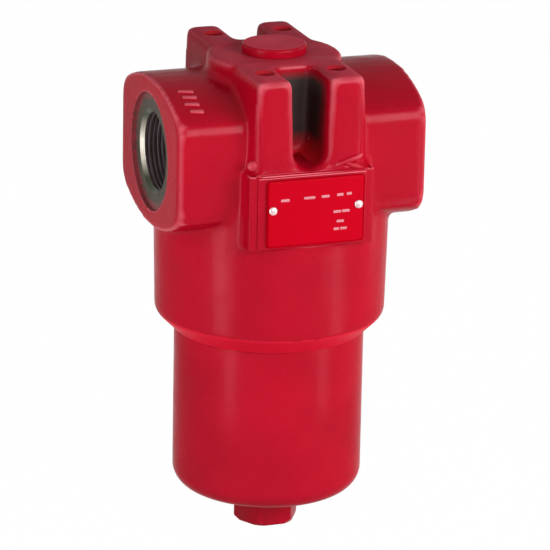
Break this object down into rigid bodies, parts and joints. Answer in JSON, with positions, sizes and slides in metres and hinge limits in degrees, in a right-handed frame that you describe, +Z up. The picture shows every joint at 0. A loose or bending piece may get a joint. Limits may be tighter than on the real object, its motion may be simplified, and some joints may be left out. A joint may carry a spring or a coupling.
{
  "type": "hydraulic pressure filter",
  "caption": "Red in-line high-pressure oil filter: cast head with two threaded ports and a slotted mounting tower, over a screwed-in steel bowl with a wrench hexagon.",
  "frame": {"origin": "centre of the flat end of the wrench hexagon under the bowl", "axes": "+Z up the bowl's axis towards the mounting faces; +X from the inlet port to the outlet port; the name plate faces -Y"},
  "size_m": [0.13, 0.1239, 0.2539],
  "materials": {
    "cast_paint": "gloss red paint over cast iron",
    "bowl_paint": "gloss red paint over steel",
    "bowl_seal": "black nitrile",
    "backup": "off-white plastic",
    "plug_paint": "gloss red paint over steel",
    "plug_seal": "black nitrile",
    "plate_red": "satin red on thin aluminium",
    "rivet_left_steel": "bright steel",
    "rivet_right_steel": "bright steel",
    "upper_cap_zinc": "zinc-plated steel",
    "element_seal": "black nitrile",
    "core_steel": "plain steel",
    "medium": "pleated glass-fibre medium",
    "sleeve_zinc": "zinc-plated steel",
    "lower_cap_zinc": "zinc-plated steel",
    "element_spring_steel": "spring steel",
    "seat_steel": "turned steel",
    "poppet_steel": "turned steel",
    "bypass_spring_steel": "spring steel",
    "retainer_steel": "turned steel"
  },
  "bodies": {
    "head": {"filter_head": "cast_paint", "indicator_port_plug": "plug_paint", "plug_seal_ring": "plug_seal", "name_plate": "plate_red", "plate_rivet_left": "rivet_left_steel", "plate_rivet_right": "rivet_right_steel", "bypass_seat": "seat_steel", "bypass_spring": "bypass_spring_steel"},
    "bypass": {"bypass_poppet": "poppet_steel", "bypass_spring_retainer": "retainer_steel"},
    "filter_element": {"element_upper_cap": "upper_cap_zinc", "element_o_ring": "element_seal", "element_core_tube": "core_steel", "element_pleats": "medium", "element_outer_sleeve": "sleeve_zinc", "element_lower_cap": "lower_cap_zinc", "element_spring": "element_spring_steel"},
    "bowl": {"bowl": "bowl_paint", "bowl_o_ring": "bowl_seal", "bowl_backup_ring": "backup"}
  },
  "joints": [
    {"name": "element_drop", "type": "slide", "parent": "head", "child": "filter_element", "axis": [0, 0, -1], "range_m": [0, 0.0201]},
    {"name": "bowl_unscrew", "type": "hinge", "parent": "filter_element", "child": "bowl", "pos_m": [0, 0, 0], "axis": [0, 0, -1], "range_deg": [0, 3600]},
    {"name": "bypass_lift", "type": "slide", "parent": "head", "child": "bypass", "axis": [0, 0, 1], "range_m": [0, 0.004], "stiffness_N_per_m": 4000, "springref_m": -0.006, "deforming": ["bypass_spring"]}
  ],
  "couplings": [
    {"joint": "element_drop", "follows": "bowl_unscrew", "m_per_rad": 0.00031831}
  ]
}
